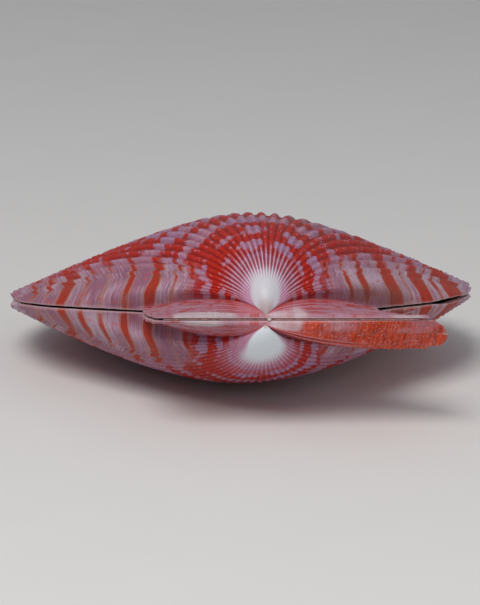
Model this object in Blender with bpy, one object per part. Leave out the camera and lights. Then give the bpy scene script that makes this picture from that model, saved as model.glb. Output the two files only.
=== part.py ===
"""A closed scallop shell lying on its lower valve: two ribbed valves and the ligament along the hinge.

Each valve is one growth spiral. Its outline at the valve's edge, ears included, is drawn in the
plane where the valves meet, in the frame of the shell: the beak at the origin, the hinge line
along X (anterior ears at +X), Y running from the hinge to the ventral edge, Z away from that plane.
Every earlier outline is the same curve shrunk towards the beak and turned about the hinge line, and
together these outlines are the outer surface. At the end the shell is tipped as it lies on a table.
"""

import math

import bmesh
import bpy
import numpy as np
from mathutils import Matrix

# Driving dimensions in metres, angles in degrees
DISC_WIDTH = 0.0668
VENTRAL_SEMI_AXIS = 0.0305
APEX_HALF_ANGLE = 48.0
RIBBED_HALF_ANGLE = 43.0
RIB_COUNT = 25
RIB_HEIGHT = 0.0012
RIB_STEEPNESS = 2.2
LEAN_PER_METRE = -0.035
TWIST_PER_METRE = 0.317

UPPER_GROWTH = 2.11
UPPER_SIDE_GROWTH = 0.72
LOWER_GROWTH = 2.57
LOWER_DEPTH_LEAN = 0.10
WALL_GROWTH_FACTOR = 1.10
TURN_LINEAR = 1.2
TURN_SOFT = 0.7

VALVE_GAP = 0.0005
DISC_EDGE_THICKNESS = 0.0004
EAR_EDGE_THICKNESS = 0.0005
EDGE_WAVE = 0.00045
EDGE_SCALLOP = 0.00035
RIM_WIDTH = 0.0012
HINGE_PLATE_WIDTH = 0.0015

LIGAMENT_THICKNESS = 0.0003
LIGAMENT_FRONT = 0.00015
LIGAMENT_BACK = 0.0013
LIGAMENT_TIP_BACK = 0.0006
LIGAMENT_POSTERIOR_END = -0.0138
LIGAMENT_ANTERIOR_END = 0.0205

REST_PITCH = 9.5
WORN_CREST_DEPTH = 0.0004

# Free edges of the ears, from the hinge line or to it: x, y and the height out of the edge plane
POSTERIOR_EAR = (
    (-0.0148, 0.0, 0.0),
    (-0.0157, 0.0045, 0.0),
    (-0.0160, 0.0095, 0.0),
    (-0.0158, 0.0142, 0.0),
)
UPPER_ANTERIOR_EAR = (
    (0.0158, 0.0142, 0.0),
    (0.0170, 0.0108, -0.0004),
    (0.0198, 0.0072, -0.0007),
    (0.0218, 0.0034, -0.0004),
    (0.0220, 0.0, 0.0),
)
LOWER_ANTERIOR_EAR = (
    (0.0115, 0.0102, 0.0008),
    (0.0142, 0.0100, 0.0022),
    (0.0182, 0.0102, 0.0033),
    (0.0224, 0.0097, 0.0040),
    (0.0243, 0.0076, 0.0036),
    (0.0246, 0.0038, 0.0018),
    (0.0228, 0.0, 0.0),
)

UPPER_VALVE = {
    "name": "upper_valve",
    "side": 1,
    "growth": UPPER_GROWTH,
    "side_growth": UPPER_SIDE_GROWTH,
    "depth_lean": 0.0,
    "rib_shift": 0.0,
    "anterior_ear": UPPER_ANTERIOR_EAR,
    "riblets": (4, 4),
    "riblet_height": (0.00015, 0.00015),
    "colour": (0.62, 0.12, 0.08, 1.0),
}
LOWER_VALVE = {
    "name": "lower_valve",
    "side": -1,
    "growth": LOWER_GROWTH,
    "side_growth": 0.0,
    "depth_lean": LOWER_DEPTH_LEAN,
    "rib_shift": 0.5,
    "anterior_ear": LOWER_ANTERIOR_EAR,
    "riblets": (4, 5),
    "riblet_height": (0.00015, 0.00035),
    "colour": (0.58, 0.10, 0.07, 1.0),
}

# Growth stages from beak to edge at which rows are cut, the stages over which the ribs and the wave
# of the edge rise, the power of the stage by which the ribs grow, the stage step for normals, and
# the columns across the outline
STAGES = (0.012, 0.035, 0.07, 0.12, 0.19, 0.28, 0.38, 0.49, 0.61, 0.74, 0.87, 1.0)
RELIEF_STAGES = (0.05, 0.40)
RELIEF_POWER = 0.75
EDGE_WAVE_STAGES = (0.6, 1.0)
NORMAL_STEP = 0.002
FULL_COLUMNS_FROM_STAGE = 0.1
RIB_COLUMNS = (-0.38, -0.17, 0.17, 0.38)
POSTERIOR_EAR_COLUMNS = 8
ANTERIOR_EAR_COLUMNS = 10
FLANK_COLUMNS = 3
SHOULDER_COLUMNS = 5


def smoothstep(low, high, value):
    """0 below low, 1 above high, and a smooth rise between them."""
    t = np.clip((value - low) / (high - low), 0.0, 1.0)
    return t * t * (3.0 - 2.0 * t)


def rib_profile(rib):
    """1 on a rib's crest, 0 in the groove between two ribs, with rounded shoulders."""
    wave = np.tanh(RIB_STEEPNESS * np.cos(2.0 * math.pi * rib))
    return 0.5 + 0.5 * wave / math.tanh(RIB_STEEPNESS)


def turn_angle(stage, growth):
    """Angle about the hinge line of the outline at a growth stage: the log spiral -ln(stage) / growth,
    which eases to a stop at the beak."""
    raw = -np.log(stage) / growth
    eased = TURN_LINEAR + TURN_SOFT * np.tanh((raw - TURN_LINEAR) / TURN_SOFT)
    return np.where(raw < TURN_LINEAR, raw, eased)


def smooth_path(points, count):
    """Evenly spread samples of a Catmull-Rom curve through the points, the last one left out."""
    known = np.array(points)
    padded = np.vstack([2 * known[0] - known[1], known, 2 * known[-1] - known[-2]])
    samples = []
    for position in np.linspace(0.0, len(known) - 1.0, count, endpoint=False):
        span = min(int(position), len(known) - 2)
        t = position - span
        a, b, c, d = padded[span : span + 4]
        curve = 2 * b + (c - a) * t + (2 * a - 5 * b + 4 * c - d) * t**2
        samples.append(0.5 * (curve + (3 * b - a - 3 * c + d) * t**3))
    return np.array(samples)


def disc_ellipse():
    """Semi-axis across, semi-axis along and centre of the ellipse that the disc's edge follows. Its
    centre lies so far from the beak that the two straight edges at the apex angle just touch it."""
    across = DISC_WIDTH / 2
    reach = across / math.tan(math.radians(APEX_HALF_ANGLE))
    return across, VENTRAL_SEMI_AXIS, math.hypot(VENTRAL_SEMI_AXIS, reach)


def disc_radius(angle):
    """Distance from the beak to the disc's edge in a direction, the far root on the ellipse."""
    across, along, centre = disc_ellipse()
    s, c = np.sin(angle), np.cos(angle)
    square = (s / across) ** 2 + (c / along) ** 2
    half = c * centre / along**2
    return (half + np.sqrt(half**2 - square * ((centre / along) ** 2 - 1.0))) / square


def shoulder_points(count):
    """Points on the ellipse from the outermost rib to where the straight edge touches it."""
    across, along, centre = disc_ellipse()
    edge = math.radians(RIBBED_HALF_ANGLE)
    radius = float(disc_radius(edge))
    start = math.atan2((radius * math.cos(edge) - centre) / along, radius * math.sin(edge) / across)
    turns = np.linspace(start, math.asin(-along / centre), count)
    return np.column_stack([across * np.cos(turns), centre + along * np.sin(turns), 0 * turns])


def outline(valve):
    """The valve's edge from the posterior end of the hinge to the anterior end: its points, the rib
    number at each, how far ribs show there, and the small waves of the ears' own riblets."""
    ear_counts = (POSTERIOR_EAR_COLUMNS, ANTERIOR_EAR_COLUMNS)
    posterior = smooth_path(POSTERIOR_EAR, ear_counts[0])
    anterior = smooth_path(valve["anterior_ear"][::-1], ear_counts[1])[::-1]
    shoulder = shoulder_points(SHOULDER_COLUMNS)
    touch = shoulder[-1]
    left_touch = touch * (-1, 1, 1)
    flank_share = np.linspace(0.0, 1.0, FLANK_COLUMNS, endpoint=False)[:, None]
    left_flank = np.array(POSTERIOR_EAR[-1]) * (1 - flank_share) + left_touch * flank_share
    right_flank = np.array(valve["anterior_ear"][0]) * (1 - flank_share) + touch * flank_share

    half = (RIB_COUNT - 1) // 2
    centres = np.arange(-half - 1, half + 2) + valve["rib_shift"]
    ribs = (centres[:, None] + np.array(RIB_COLUMNS)).ravel()
    ribs = ribs[np.abs(ribs) < RIB_COUNT / 2 - 0.05]
    pitch = math.radians(2 * RIBBED_HALF_ANGLE / RIB_COUNT)
    directions = ribs * pitch
    crest = rib_profile(ribs - valve["rib_shift"])
    radius = disc_radius(directions) + EDGE_SCALLOP * (2 * crest - 1)
    disc = np.column_stack([radius * np.sin(directions), radius * np.cos(directions), 0 * ribs])

    points = np.vstack(
        [posterior, left_flank, shoulder[::-1] * (-1, 1, 1), disc, shoulder, right_flank[::-1], anterior]
    )
    before = len(posterior) + len(left_flank) + len(shoulder)
    rib_number = np.zeros(len(points))
    rib_number[before : before + len(ribs)] = ribs
    shows = np.zeros(len(points))
    shows[before : before + len(ribs)] = smoothstep(RIB_COUNT / 2, RIB_COUNT / 2 - 1.0, np.abs(ribs))
    points[:, 0] += LEAN_PER_METRE * points[:, 1]

    waves = np.zeros(len(points))
    ends = (np.arange(len(points)), np.arange(len(points))[::-1])
    for side in (0, 1):
        share = ends[side] / ear_counts[side]
        wave = -np.cos(2 * math.pi * valve["riblets"][side] * share) * valve["riblet_height"][side]
        waves += np.where(share <= 1.0, wave, 0.0)
    ears = np.minimum(ends[0] / ear_counts[0], ends[1] / ear_counts[1]) <= 1.0
    edge_thickness = np.where(ears, EAR_EDGE_THICKNESS, DISC_EDGE_THICKNESS)
    return {
        "points": points,
        "ribs": rib_number,
        "shows": shows,
        "waves": waves,
        "thickness": edge_thickness,
        "growth": valve["growth"] * (1 + valve["side_growth"] * sideways(points)),
    }


def sideways(points):
    """0 on the middle line of the disc and 1 along the hinge: the squared sine of the direction."""
    return points[:, 0] ** 2 / (points[:, 0] ** 2 + points[:, 1] ** 2)


def turned(stage, points, growth):
    """The outline at a growth stage: shrunk by the stage and turned about the hinge line."""
    angle = turn_angle(stage, growth)
    c, s = np.cos(angle), np.sin(angle)
    x, y, z = points.T
    return stage * np.column_stack([x, y * c - z * s, y * s + z * c])


def outward(stage, points, growth):
    """Unit normals of the spiral surface at a growth stage, from central differences."""
    later = turned(stage + NORMAL_STEP, points, growth)
    grown = later - turned(stage - NORMAL_STEP, points, growth)
    across = np.gradient(turned(stage, points, growth), axis=0)
    normal = np.cross(across, grown)
    return normal / np.linalg.norm(normal, axis=1)[:, None]


def edge_wave(shape):
    """How far the line where the valves meet rises and falls, the same for both valves."""
    return EDGE_WAVE * (2 * rib_profile(shape["ribs"]) - 1) * shape["shows"]


def outer_row(valve, shape, stage):
    """Points of the outer surface at a growth stage, ribs and ear riblets included."""
    surface = turned(stage, shape["points"], shape["growth"])
    crest = rib_profile(shape["ribs"] - valve["rib_shift"]) - 0.5
    fade = stage**RELIEF_POWER * float(smoothstep(*RELIEF_STAGES, stage))
    relief = fade * (RIB_HEIGHT * crest * shape["shows"] + shape["waves"])
    surface += outward(stage, shape["points"], shape["growth"]) * relief[:, None]
    surface[:, 2] += VALVE_GAP / 2 + shape["thickness"]
    return surface


def inset(points, width):
    """The outline moved inwards by a width, in its own plane."""
    along = np.gradient(points[:, :2], axis=0)
    along[1:-1] = (along[:-2] + 2 * along[1:-1] + along[2:]) / 4
    along /= np.linalg.norm(along, axis=1)[:, None]
    moved = points.copy()
    moved[:, 0] += along[:, 1] * width
    moved[:, 1] -= along[:, 0] * width
    return moved


def inner_row(valve, shape, inner_edge, stage):
    """Points of the inner surface: a flatter spiral about a line just behind the hinge line."""
    surface = turned(stage, inner_edge, shape["growth"] * WALL_GROWTH_FACTOR)
    surface[:, 1] += HINGE_PLATE_WIDTH
    wave = valve["side"] * edge_wave(shape) * smoothstep(*EDGE_WAVE_STAGES, stage)
    surface[:, 2] += VALVE_GAP / 2 + wave
    return surface


def stitch(mesh, first, second):
    """Triangles between two rows of vertices that may differ in number, matched by their shares."""
    i = j = 0
    while i < len(first) - 1 or j < len(second) - 1:
        next_i = (i + 1) / max(len(first) - 1, 1) if i < len(first) - 1 else 2.0
        next_j = (j + 1) / max(len(second) - 1, 1) if j < len(second) - 1 else 2.0
        if next_i <= next_j:
            corners = (first[i], first[i + 1], second[j])
            i += 1
        else:
            corners = (first[i], second[j + 1], second[j])
            j += 1
        if len(set(corners)) == 3:
            mesh.faces.new(corners)


def add_row(mesh, points, valve):
    """New vertices at the points, mirrored below the plane for the lower valve. The lower valve leans
    to its posterior side as it deepens, and the plane where the valves meet is slightly twisted."""
    rows = points - np.outer(valve["depth_lean"] * points[:, 2], (1, 0, 0))
    rows[:, 2] = valve["side"] * rows[:, 2] + TWIST_PER_METRE * rows[:, 0] * rows[:, 1]
    return [mesh.verts.new(row) for row in rows]


def kept_columns(shape, stage, every):
    """Which columns a row uses: all of them, or every few towards the beak."""
    count = len(shape["ribs"])
    if stage >= FULL_COLUMNS_FROM_STAGE and every == 1:
        return np.arange(count)
    step = max(every, 3) if stage < FULL_COLUMNS_FROM_STAGE else every
    return np.unique(np.append(np.arange(0, count, step), count - 1))


def build_valve(valve):
    """The closed solid of one valve: outer surface, edge all round, flat rim and inner surface."""
    shape = outline(valve)
    side = valve["side"]
    mesh = bmesh.new()

    outer_rows = []
    for stage in STAGES:
        columns = kept_columns(shape, stage, 1)
        outer_rows.append(add_row(mesh, outer_row(valve, shape, stage)[columns], valve))
    beak = mesh.verts.new((0, 0, side * (VALVE_GAP / 2 + EAR_EDGE_THICKNESS)))
    for first, second in zip(outer_rows, outer_rows[1:]):
        stitch(mesh, first, second)
    stitch(mesh, [beak], outer_rows[0])

    base_edge = shape["points"].copy()
    base_edge[:, 2] += VALVE_GAP / 2 + side * edge_wave(shape)
    base_loop = closed_loop(mesh, base_edge, valve)
    inner_edge = inset(shape["points"], RIM_WIDTH)
    inner_edge[:, 1] -= HINGE_PLATE_WIDTH
    inner_edge[[0, -1], 1:] = 0.0
    inner_edge[:, 1] = np.maximum(inner_edge[:, 1], 0.0)
    first_inner = inner_row(valve, shape, inner_edge, 1.0)
    inner_loop = closed_loop(mesh, first_inner, valve)
    outer_loop = outer_rows[-1] + [row[-1] for row in outer_rows[-2::-1]] + [beak]
    outer_loop += [row[0] for row in outer_rows[:-1]]
    for upper, lower in ((outer_loop, base_loop), (base_loop, inner_loop)):
        stitch(mesh, upper + upper[:1], lower + lower[:1])

    edge_count = len(shape["ribs"])
    right_hinge = inner_loop[edge_count : edge_count + len(STAGES) - 1][::-1]
    inner_beak = inner_loop[edge_count + len(STAGES) - 1]
    left_hinge = inner_loop[edge_count + len(STAGES) :]
    inner_rows = []
    for index, stage in enumerate(STAGES[:-1]):
        columns = kept_columns(shape, stage, 2)[1:-1]
        middle = add_row(mesh, inner_row(valve, shape, inner_edge, stage)[columns], valve)
        inner_rows.append([left_hinge[index]] + middle + [right_hinge[index]])
    inner_rows.append(inner_loop[:edge_count])
    for first, second in zip(inner_rows, inner_rows[1:]):
        stitch(mesh, first, second)
    stitch(mesh, [inner_beak], inner_rows[0])
    return mesh


def closed_loop(mesh, edge, valve):
    """Vertices along an edge row and back along the hinge line past the beak."""
    beak = np.array([(edge[0] + edge[-1]) / 2 * (0, 1, 1)])
    going_in = [edge[-1] * (stage, 1, 1) for stage in STAGES[-2::-1]]
    going_out = [edge[0] * (stage, 1, 1) for stage in STAGES[:-1]]
    return add_row(mesh, np.vstack([edge, going_in, beak, going_out]), valve)


def build_ligament():
    """A flat dark strip between the two hinge edges, widest at the beak and tapering to both ends."""
    mesh = bmesh.new()
    half = LIGAMENT_THICKNESS / 2
    stations = (
        (LIGAMENT_POSTERIOR_END, LIGAMENT_TIP_BACK),
        (LIGAMENT_POSTERIOR_END / 2, LIGAMENT_BACK),
        (0.0, LIGAMENT_BACK),
        (LIGAMENT_ANTERIOR_END / 2, LIGAMENT_BACK),
        (LIGAMENT_ANTERIOR_END, LIGAMENT_TIP_BACK),
    )
    rings = []
    for x, back in stations:
        corners = ((LIGAMENT_FRONT, -half), (back, -half), (back, half), (LIGAMENT_FRONT, half))
        rings.append([mesh.verts.new((x, y, z)) for y, z in corners])
    for first, second in zip(rings, rings[1:]):
        for corner in range(4):
            beside = (corner + 1) % 4
            mesh.faces.new((first[corner], first[beside], second[beside], second[corner]))
    mesh.faces.new(rings[0])
    mesh.faces.new(rings[-1])
    return mesh


def lay_down(meshes):
    """Tips the shell as it lies, stands it on the floor with the middle of its box over the origin,
    and wears flat the lowest rib crests, which it rests on."""
    tip = Matrix.Rotation(math.radians(-REST_PITCH), 4, "X")
    for mesh in meshes:
        bmesh.ops.transform(mesh, matrix=tip, verts=mesh.verts)
    places = np.array([vertex.co for mesh in meshes for vertex in mesh.verts])
    low, high = places.min(axis=0), places.max(axis=0)
    floor = low[2] + WORN_CREST_DEPTH
    shift = Matrix.Translation((-(low[0] + high[0]) / 2, -(low[1] + high[1]) / 2, -floor))
    for mesh in meshes:
        bmesh.ops.transform(mesh, matrix=shift, verts=mesh.verts)
        for vertex in mesh.verts:
            vertex.co.z = max(vertex.co.z, 0.0)


def finish(name, mesh, colour, roughness):
    """Makes a named object of the mesh, with its faces pointing out and its own material."""
    bmesh.ops.recalc_face_normals(mesh, faces=mesh.faces)
    data = bpy.data.meshes.new(name)
    mesh.to_mesh(data)
    mesh.free()
    data.shade_smooth()
    data.set_sharp_from_angle(angle=math.radians(40))
    material = bpy.data.materials.new(name)
    material.use_nodes = True
    shader = material.node_tree.nodes["Principled BSDF"]
    shader.inputs["Base Color"].default_value = colour
    shader.inputs["Roughness"].default_value = roughness
    shader.inputs["Metallic"].default_value = 0.0
    data.materials.append(material)
    bpy.context.scene.collection.objects.link(bpy.data.objects.new(name, data))


def main():
    for old in list(bpy.data.objects):
        bpy.data.objects.remove(old)
    upper = build_valve(UPPER_VALVE)
    lower = build_valve(LOWER_VALVE)
    ligament = build_ligament()
    lay_down((upper, lower, ligament))
    finish(UPPER_VALVE["name"], upper, UPPER_VALVE["colour"], 0.4)
    finish(LOWER_VALVE["name"], lower, LOWER_VALVE["colour"], 0.4)
    finish("hinge_ligament", ligament, (0.05, 0.035, 0.03, 1.0), 0.55)


main()
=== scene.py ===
"""The finish of a closed scallop shell: two ribbed, coloured valves and the dry ligament of the hinge.

Run it as a script. Every surface is a function of two parameters, the growth stage (0 at the beak,
1 at the valve's edge) and the place along the outline. It is worked out for whole grids at once, in
the frame of the shell: the beak at the origin, the hinge line along X, Y towards the ventral edge, Z
out of the plane where the valves meet. The shell is then tipped and set down as it rests.
"""

import math

import bpy
import numpy as np
from bpy.props import FloatProperty, FloatVectorProperty, IntProperty, PointerProperty
from bpy.types import Operator, Panel, PropertyGroup
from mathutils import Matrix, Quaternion, Vector


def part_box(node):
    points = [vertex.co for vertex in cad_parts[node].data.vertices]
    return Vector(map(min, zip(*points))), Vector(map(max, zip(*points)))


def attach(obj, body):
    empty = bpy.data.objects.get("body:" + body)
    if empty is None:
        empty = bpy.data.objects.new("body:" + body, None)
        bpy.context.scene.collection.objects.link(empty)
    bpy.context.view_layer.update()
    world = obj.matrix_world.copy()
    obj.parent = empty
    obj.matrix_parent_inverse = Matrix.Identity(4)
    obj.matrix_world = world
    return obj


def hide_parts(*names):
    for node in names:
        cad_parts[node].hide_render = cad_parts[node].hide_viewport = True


bl_info = {
    "name": "Scallop Shell Finish",
    "version": (1, 0, 0),
    "blender": (4, 5, 0),
    "location": "3D View > Sidebar > Scallop",
    "description": "Builds the ribbed and coloured valves of a scallop, its ligament and its stage",
    "category": "Add Mesh",
}

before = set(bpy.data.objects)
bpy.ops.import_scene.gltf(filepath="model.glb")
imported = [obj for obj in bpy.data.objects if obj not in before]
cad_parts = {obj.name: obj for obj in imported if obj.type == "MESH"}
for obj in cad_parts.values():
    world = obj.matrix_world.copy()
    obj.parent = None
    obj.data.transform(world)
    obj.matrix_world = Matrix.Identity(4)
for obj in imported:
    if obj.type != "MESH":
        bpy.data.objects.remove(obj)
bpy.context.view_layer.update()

# Where the ligament lies along the hinge and behind it. The solid ligament has the same ends, so its
# box gives the place of the beak
LIGAMENT_POSTERIOR_END = -0.0138
LIGAMENT_ANTERIOR_END = 0.0205
LIGAMENT_FRONT = 0.00015
LIGAMENT_THICKNESS = 0.0003

# Free edges of the ears: x, y and the height out of the plane where the valves meet
POSTERIOR_EAR = (
    (-0.0148, 0.0, 0.0),
    (-0.0157, 0.0045, 0.0),
    (-0.0160, 0.0095, 0.0),
    (-0.0158, 0.0142, 0.0),
)
POSTERIOR_EAR_REACH = abs(POSTERIOR_EAR[1][0])
UPPER_ANTERIOR_EAR = (
    (0.0158, 0.0142, 0.0),
    (0.0170, 0.0108, -0.0004),
    (0.0198, 0.0072, -0.0007),
    (0.0218, 0.0034, -0.0004),
    (0.0220, 0.0, 0.0),
)
LOWER_ANTERIOR_EAR = (
    (0.0115, 0.0102, 0.0008),
    (0.0142, 0.0100, 0.0022),
    (0.0182, 0.0102, 0.0033),
    (0.0224, 0.0097, 0.0040),
    (0.0243, 0.0076, 0.0036),
    (0.0246, 0.0038, 0.0018),
    (0.0228, 0.0, 0.0),
)

# Colour bands of the two smooth flanks, the same on both valves: growth stage and half width
POSTERIOR_BANDS = (
    (0.140, 0.034),
    (0.208, 0.013),
    (0.245, 0.004),
    (0.302, 0.008),
    (0.366, 0.006),
    (0.452, 0.022),
    (0.550, 0.017),
    (0.650, 0.006),
    (0.738, 0.009),
    (0.828, 0.026),
    (0.910, 0.007),
    (0.975, 0.014),
)
ANTERIOR_BANDS = (
    (0.140, 0.034),
    (0.208, 0.013),
    (0.302, 0.008),
    (0.385, 0.005),
    (0.460, 0.009),
    (0.596, 0.028),
    (0.672, 0.004),
    (0.750, 0.034),
    (0.838, 0.005),
    (0.935, 0.048),
)

# Larger markings of the disc, as laid out on the shell: rib, growth stage, half width in ribs, half
# length as a share of the stage, and strength, above 0 for red and below 0 for lilac
UPPER_MARKINGS = (
    (-10.5, 0.31, 1.0, 0.12, 0.9),
    (-8.7, 0.25, 1.2, 0.24, 1.4),
    (-11.4, 0.155, 1.4, 0.30, 0.9),
    (-9.2, 0.174, 1.4, 0.16, 1.3),
    (-7.0, 0.23, 1.0, 0.15, 1.3),
    (-5.2, 0.174, 1.3, 0.22, 1.4),
    (-4.3, 0.27, 1.2, 0.15, 1.2),
    (-2.5, 0.23, 1.1, 0.14, 1.3),
    (-3.0, 0.158, 0.6, 0.10, 0.8),
    (1.4, 0.180, 1.1, 0.28, 1.5),
    (2.4, 0.235, 1.2, 0.10, 1.3),
    (4.6, 0.31, 0.6, 0.16, 1.2),
    (7.2, 0.21, 1.1, 0.40, 1.4),
    (7.9, 0.35, 0.9, 0.13, 1.1),
    (10.0, 0.50, 1.4, 0.08, 1.2),
    (9.5, 0.295, 1.1, 0.10, 0.9),
    (11.4, 0.18, 1.2, 0.25, 0.8),
    (-8.3, 0.50, 1.3, 0.18, 0.9),
    (-11.2, 0.86, 0.6, 0.05, 1.0),
    (-6.0, 0.36, 0.8, 0.25, -1.2),
    (-10.6, 0.55, 1.0, 0.30, -0.9),
    (-1.8, 0.155, 1.6, 0.26, -1.3),
    (-0.4, 0.27, 1.0, 0.30, -1.3),
    (5.3, 0.30, 0.8, 0.70, -1.5),
    (9.2, 0.23, 1.0, 0.14, -1.0),
    (3.4, 0.18, 0.8, 0.20, -0.7),
)
LOWER_MARKINGS = (
    (-11.9, 0.21, 0.9, 0.26, 1.1),
    (-9.6, 0.19, 2.0, 0.36, 1.4),
    (-5.8, 0.172, 2.2, 0.24, 1.3),
    (-6.5, 0.26, 2.2, 0.16, 0.7),
    (1.4, 0.178, 1.2, 0.22, 1.2),
    (5.3, 0.275, 0.9, 0.20, 1.0),
    (7.1, 0.245, 0.8, 0.12, 0.9),
    (11.8, 0.28, 0.8, 0.26, 1.2),
    (10.2, 0.17, 1.2, 0.14, 0.5),
    (-9.0, 0.42, 2.0, 0.25, -1.1),
    (9.3, 0.32, 1.8, 0.40, -1.2),
    (3.6, 0.20, 1.0, 0.40, -0.8),
    (-1.6, 0.18, 1.6, 0.30, -0.5),
)

# What makes the two valves differ. Angles are in degrees from the middle line. A strip is a white patch
# along the hinge: its start, its end, its strength and the share of the ear that it covers
UPPER_VALVE = {
    "name": "upper_valve_shell",
    "node": "upper_valve",
    "slot": "upper_valve_shell",
    "side": 1,
    "side_growth": 0.72,
    "depth_lean": 0.0,
    "rib_shift": 0.0,
    "anterior_ear": UPPER_ANTERIOR_EAR,
    "riblets": (4, 4),
    "riblet_height": (0.00015, 0.00015),
    "tip_reach": 0.0222,
    "band_bend": 0.07,
    "byssal": 0.0,
    "markings": UPPER_MARKINGS,
    "red_share": 0.30,
    "umbo_colour": (0.72, 0.70, 0.75),
    "tip_stages": (0.012, 0.042),
    "ray_share": 0.95,
    "ray_contrast": 0.55,
    "halo_share": 0.35,
    "groove_share": 0.0,
    "umbo_stages": (0.056, 0.120),
    "umbo_half_angle": 26.0,
    "broad_stages": (0.030, 0.075),
    "umbo_towards": 0.0,
    "halo_stage": 0.17,
    "strips": ((-0.0140, -0.0030, 1.0, 0.15), (-0.0006, 0.0064, 0.72, 0.62), (0.0150, 0.0226, 0.8, 0.12)),
    "seed": 11,
}
LOWER_VALVE = {
    "name": "lower_valve_shell",
    "node": "lower_valve",
    "slot": "lower_valve_shell",
    "side": -1,
    "side_growth": 0.0,
    "depth_lean": 0.10,
    "rib_shift": 0.5,
    "anterior_ear": LOWER_ANTERIOR_EAR,
    "riblets": (4, 5),
    "riblet_height": (0.00015, 0.00035),
    "tip_reach": 0.0246,
    "band_bend": 0.15,
    "byssal": 1.0,
    "markings": LOWER_MARKINGS,
    "red_share": 0.26,
    "umbo_colour": (0.80, 0.87, 0.92),
    "tip_stages": (0.004, 0.010),
    "ray_share": 0.40,
    "ray_contrast": 0.10,
    "halo_share": 0.85,
    "groove_share": 0.9,
    "umbo_stages": (0.045, 0.150),
    "umbo_half_angle": 38.0,
    "broad_stages": (0.030, 0.075),
    "umbo_towards": 8.0,
    "halo_stage": 0.20,
    "strips": ((-0.0122, -0.0048, 1.0, 0.15), (-0.0004, 0.0060, 0.8, 0.32), (0.0060, 0.0230, 0.2, 0.10)),
    "seed": 47,
}

# How finely the surfaces are cut
GROWTH_ROWS = 168
GROWTH_ROW_POWER = 1.08
COLUMNS_PER_RIB = 14
POSTERIOR_EAR_COLUMNS = 44
ANTERIOR_EAR_COLUMNS = 64
FLANK_COLUMNS = 10
SHOULDER_COLUMNS = 22
INNER_ROWS = 26
INNER_EVERY = 4
SMOOTHING_COLUMNS = 15
LIGAMENT_ROWS = 240
LIGAMENT_COLUMNS = 16
BEAD_ROWS = 18
BEAD_COLUMNS = 24
SHARP_ANGLE = 52.0

# Form of the growth spiral and of the valves' edges
WALL_GROWTH_FACTOR = 1.10
TURN_LINEAR = 1.2
TURN_SOFT = 0.7
DISC_EDGE_THICKNESS = 0.0004
EAR_EDGE_THICKNESS = 0.0005
EAR_TIP_THICKNESS = 0.00025
EDGE_WAVE = 0.00045
EDGE_SCALLOP = 0.00035
LAST_RIB_MARGIN = 0.05
RIM_WIDTH = 0.0012
HINGE_PLATE_WIDTH = 0.0015
LIP_ROUNDING = 0.00005
LEAN_PER_METRE = -0.035
TWIST_PER_METRE = 0.54

# Relief of the discs: how the ribs fade in from the beak and get lower at the sides, and the pitches
# of the waves across them
RELIEF_STAGES = (0.08, 0.50)
RELIEF_POWER = 1.3
RIB_STEEPNESS = 2.2
SIDE_RIBS = (6.0, 11.0)
SIDE_RELIEF = 0.45
THREADS_PER_RIB = 3
FINE_THREADS_PER_RIB = 5
DISC_LENGTH = 0.072
SCALE_PITCH = 0.0016
GROWTH_STEP_PITCH = 0.0009
LAMELLA_PITCH = 0.00029

# Relief of the ears, and the teeth of the rough one
EAR_LAP_PITCH = 0.00075
EAR_LAP_HEIGHT = 0.00012
EAR_GRAIN_PITCH = 0.0004
EAR_GRAIN_HEIGHT = 0.00005
SMOOTH_EAR_ROUGHNESS = 0.35
TEETH_FREQUENCY = 27.0
TOOTH_HEIGHT = 0.0013
SWAY_FREQUENCY = 9.0
SWAY_HEIGHT = 0.0003
LEAST_DISTANCE = 0.004

# Chipped rim beside the anterior tip, and the slight raggedness of the whole rim
CHIP_PLACE = 0.0287
CHIP_HALF_WIDTH = 0.0022
CHIP_GAPE = 0.0002
CHIP_PITCH = 0.0005
RAGGED_GAPE = 0.00005
RAGGED_PITCH = 0.0004

# Colour rings: how many for each natural logarithm of growth near the beak, the stage that they are
# counted from, the stage where even spacing takes over and the rings for each whole stage there
RINGS_PER_LOG = 3.2
RINGS_COUNTED_FROM = 0.17
EVEN_RINGS_FROM = 0.4
EVEN_RINGS = 9.0

# Colour of the flanks: the rib numbers that are counted on over them, how far their bands reach beyond
# the ribs' level, the rib that the bands bend from, the softness of a band in the markings of the ribs,
# its steps from rib to rib, and the strength of the larger markings
FLANK_RIBS = 5.0
FLANK_REACH = 0.035
BANDS_BEND_FROM = 7.0
BAND_SOFTNESS = 0.018
BAND_STEP = 0.016
MARKING_STRENGTH = 0.75

# White of the beaks: the half angle at the very tip, in degrees, and the softness of its sides
TIP_HALF_ANGLE = 55.0
BEAK_SOFTNESS = 14.0

# The ligament: noise on its front and on its height, its depth at the ends and in the middle, and the
# glassy bead
LIGAMENT_SEED = 5
STRIP_FRONT = 0.00012
STRIP_WAVE = 0.00006
STRIP_WAVE_PITCH = 0.0005
STRIP_UNEVEN_PITCH = 0.0007
STRIP_DEPTHS = (0.0008, 0.0013)
BEAD_PLACE = np.array((0.0004, -0.00008, 0.0))
BEAD_RADII = np.array((0.00028, 0.00022, 0.00022))

# Materials: the scales of the noises for each metre, the relief of the fine grain, and the shades that
# the growth lines lay over the colours
GRAIN_SCALE = 1500.0
CLOUD_SCALE = 300.0
BLOTCH_SCALE = 130.0
SPECK_SCALE = 3200.0
BUMP_HEIGHT = 0.00003
LINE_SHADE = (0.72, 0.69, 0.72)
PLAIN_SHADE = (0.90, 0.90, 0.90)
LIGAMENT_PALE = (0.24, 0.17, 0.15)

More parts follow.
